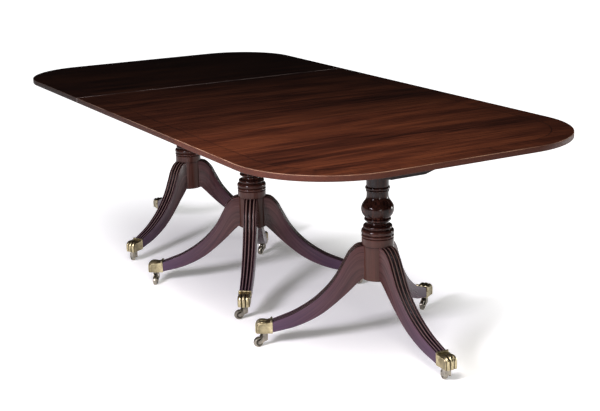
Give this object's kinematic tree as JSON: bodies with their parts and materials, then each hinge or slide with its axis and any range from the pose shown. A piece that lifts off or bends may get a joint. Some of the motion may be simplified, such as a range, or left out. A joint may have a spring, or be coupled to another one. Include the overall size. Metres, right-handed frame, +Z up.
{
  "type": "pedestal dining table",
  "caption": "Long dining table with a round-cornered wooden top in sections, on turned pedestals with sabre legs, brass toe caps and casters; the end sections draw away.",
  "frame": {"origin": "on the floor under the middle of the top", "axes": "+X across the table to the right, +Y along it to the far end, +Z up"},
  "size_m": [1.2, 2.388, 0.74],
  "materials": {
    "mahogany": "polished dark red-brown mahogany",
    "carcase_wood": "dull unpolished hardwood",
    "aged_brass": "aged, hand-rubbed brass",
    "screw_steel": "dark steel screws"
  },
  "bodies": {
    "near_unit": {"near_top": "mahogany", "near_bearers": "carcase_wood", "near_head_block": "carcase_wood", "near_column": "mahogany", "near_end_leg": "mahogany", "near_right_leg": "mahogany", "near_left_leg": "mahogany", "near_toe_caps": "aged_brass", "near_cap_pins": "aged_brass", "near_keepers": "aged_brass", "near_screws": "screw_steel"},
    "middle_unit": {"middle_top": "mahogany", "middle_bearers": "carcase_wood", "middle_head_block": "carcase_wood", "middle_column": "mahogany", "middle_far_right_leg": "mahogany", "middle_far_left_leg": "mahogany", "middle_near_left_leg": "mahogany", "middle_near_right_leg": "mahogany", "middle_toe_caps": "aged_brass", "middle_cap_pins": "aged_brass", "middle_keepers": "aged_brass", "middle_screws": "screw_steel", "near_joint_tongues": "carcase_wood", "far_joint_tongues": "carcase_wood"},
    "far_unit": {"far_top": "mahogany", "far_bearers": "carcase_wood", "far_head_block": "carcase_wood", "far_column": "mahogany", "far_end_leg": "mahogany", "far_left_leg": "mahogany", "far_right_leg": "mahogany", "far_toe_caps": "aged_brass", "far_cap_pins": "aged_brass", "far_keepers": "aged_brass", "far_screws": "screw_steel"},
    "near_left_clip_slider": {"near_left_clip": "aged_brass"},
    "near_right_clip_slider": {"near_right_clip": "aged_brass"},
    "far_left_clip_slider": {"far_left_clip": "aged_brass"},
    "far_right_clip_slider": {"far_right_clip": "aged_brass"},
    "near_end_caster_swivelling": {"near_end_caster_fork": "aged_brass"},
    "near_end_caster_rolling": {"near_end_caster_wheel": "aged_brass"},
    "near_right_caster_swivelling": {"near_right_caster_fork": "aged_brass"},
    "near_right_caster_rolling": {"near_right_caster_wheel": "aged_brass"},
    "near_left_caster_swivelling": {"near_left_caster_fork": "aged_brass"},
    "near_left_caster_rolling": {"near_left_caster_wheel": "aged_brass"},
    "middle_far_right_caster_swivelling": {"middle_far_right_caster_fork": "aged_brass"},
    "middle_far_right_caster_rolling": {"middle_far_right_caster_wheel": "aged_brass"},
    "middle_far_left_caster_swivelling": {"middle_far_left_caster_fork": "aged_brass"},
    "middle_far_left_caster_rolling": {"middle_far_left_caster_wheel": "aged_brass"},
    "middle_near_left_caster_swivelling": {"middle_near_left_caster_fork": "aged_brass"},
    "middle_near_left_caster_rolling": {"middle_near_left_caster_wheel": "aged_brass"},
    "middle_near_right_caster_swivelling": {"middle_near_right_caster_fork": "aged_brass"},
    "middle_near_right_caster_rolling": {"middle_near_right_caster_wheel": "aged_brass"},
    "far_end_caster_swivelling": {"far_end_caster_fork": "aged_brass"},
    "far_end_caster_rolling": {"far_end_caster_wheel": "aged_brass"},
    "far_left_caster_swivelling": {"far_left_caster_fork": "aged_brass"},
    "far_left_caster_rolling": {"far_left_caster_wheel": "aged_brass"},
    "far_right_caster_swivelling": {"far_right_caster_fork": "aged_brass"},
    "far_right_caster_rolling": {"far_right_caster_wheel": "aged_brass"}
  },
  "joints": [
    {"name": "near_unit_draw", "type": "slide", "parent": "middle_unit", "child": "near_unit", "axis": [0, -1, 0], "range_m": [0, 0.5]},
    {"name": "far_unit_draw", "type": "slide", "parent": "middle_unit", "child": "far_unit", "axis": [0, 1, 0], "range_m": [0, 0.5]},
    {"name": "near_left_clip_slide", "type": "slide", "parent": "middle_unit", "child": "near_left_clip_slider", "axis": [0, 1, 0], "range_m": [0, 0.065]},
    {"name": "near_right_clip_slide", "type": "slide", "parent": "middle_unit", "child": "near_right_clip_slider", "axis": [0, 1, 0], "range_m": [0, 0.065]},
    {"name": "far_left_clip_slide", "type": "slide", "parent": "middle_unit", "child": "far_left_clip_slider", "axis": [0, -1, 0], "range_m": [0, 0.065]},
    {"name": "far_right_clip_slide", "type": "slide", "parent": "middle_unit", "child": "far_right_clip_slider", "axis": [0, -1, 0], "range_m": [0, 0.065]},
    {"name": "near_end_caster_swivel", "type": "hinge", "parent": "near_unit", "child": "near_end_caster_swivelling", "pos_m": [0, -1.107, 0.05], "axis": [0, 0, 1], "continuous": true},
    {"name": "near_end_caster_roll", "type": "hinge", "parent": "near_end_caster_swivelling", "child": "near_end_caster_rolling", "pos_m": [0.00595, -1.08478, 0.018], "axis": [-0.9659, 0.2588, 0], "continuous": true},
    {"name": "near_right_caster_swivel", "type": "hinge", "parent": "near_unit", "child": "near_right_caster_swivelling", "pos_m": [0.33602, -0.525, 0.05], "axis": [0, 0, 1], "continuous": true},
    {"name": "near_right_caster_roll", "type": "hinge", "parent": "near_right_caster_swivelling", "child": "near_right_caster_rolling", "pos_m": [0.31741, -0.53852, 0.018], "axis": [0.5878, -0.809, 0], "continuous": true},
    {"name": "near_left_caster_swivel", "type": "hinge", "parent": "near_unit", "child": "near_left_caster_swivelling", "pos_m": [-0.33602, -0.525, 0.05], "axis": [0, 0, 1], "continuous": true},
    {"name": "near_left_caster_roll", "type": "hinge", "parent": "near_left_caster_swivelling", "child": "near_left_caster_rolling", "pos_m": [-0.35896, -0.5266, 0.018], "axis": [0.0698, -0.9976, 0], "continuous": true},
    {"name": "middle_far_right_caster_swivel", "type": "hinge", "parent": "middle_unit", "child": "middle_far_right_caster_swivelling", "pos_m": [0.15915, 0.39155, 0.05], "axis": [0, 0, 1], "continuous": true},
    {"name": "middle_far_right_caster_roll", "type": "hinge", "parent": "middle_far_right_caster_swivelling", "child": "middle_far_right_caster_rolling", "pos_m": [0.14078, 0.37771, 0.018], "axis": [0.6018, -0.7986, 0], "continuous": true},
    {"name": "middle_far_left_caster_swivel", "type": "hinge", "parent": "middle_unit", "child": "middle_far_left_caster_swivelling", "pos_m": [-0.37855, 0.28215, 0.05], "axis": [0, 0, 1], "continuous": true},
    {"name": "middle_far_left_caster_roll", "type": "hinge", "parent": "middle_far_left_caster_swivelling", "child": "middle_far_left_caster_rolling", "pos_m": [-0.39174, 0.26331, 0.018], "axis": [0.8192, -0.5736, 0], "continuous": true},
    {"name": "middle_near_left_caster_swivel", "type": "hinge", "parent": "middle_unit", "child": "middle_near_left_caster_swivelling", "pos_m": [-0.26915, -0.25555, 0.05], "axis": [0, 0, 1], "continuous": true},
    {"name": "middle_near_left_caster_roll", "type": "hinge", "parent": "middle_near_left_caster_swivelling", "child": "middle_near_left_caster_rolling", "pos_m": [-0.29215, -0.25555, 0.018], "axis": [0, -1, 0], "continuous": true},
    {"name": "middle_near_right_caster_swivel", "type": "hinge", "parent": "middle_unit", "child": "middle_near_right_caster_swivelling", "pos_m": [0.26855, -0.14615, 0.05], "axis": [0, 0, 1], "continuous": true},
    {"name": "middle_near_right_caster_roll", "type": "hinge", "parent": "middle_near_right_caster_swivelling", "child": "middle_near_right_caster_rolling", "pos_m": [0.28005, -0.16607, 0.018], "axis": [0.866, 0.5, 0], "continuous": true},
    {"name": "far_end_caster_swivel", "type": "hinge", "parent": "far_unit", "child": "far_end_caster_swivelling", "pos_m": [0.02031, 1.14547, 0.05], "axis": [0, 0, 1], "continuous": true},
    {"name": "far_end_caster_roll", "type": "hinge", "parent": "far_end_caster_swivelling", "child": "far_end_caster_rolling", "pos_m": [0.04022, 1.13397, 0.018], "axis": [0.5, 0.866, 0], "continuous": true},
    {"name": "far_left_caster_swivel", "type": "hinge", "parent": "far_unit", "child": "far_left_caster_swivelling", "pos_m": [-0.34571, 0.58185, 0.05], "axis": [0, 0, 1], "continuous": true},
    {"name": "far_left_caster_roll", "type": "hinge", "parent": "far_left_caster_swivelling", "child": "far_left_caster_rolling", "pos_m": [-0.34451, 0.60482, 0.018], "axis": [-0.9986, 0.0523, 0], "continuous": true},
    {"name": "far_right_caster_swivel", "type": "hinge", "parent": "far_unit", "child": "far_right_caster_swivelling", "pos_m": [0.3254, 0.54668, 0.05], "axis": [0, 0, 1], "continuous": true},
    {"name": "far_right_caster_roll", "type": "hinge", "parent": "far_right_caster_swivelling", "child": "far_right_caster_rolling", "pos_m": [0.34702, 0.55455, 0.018], "axis": [-0.342, 0.9397, 0], "continuous": true}
  ]
}
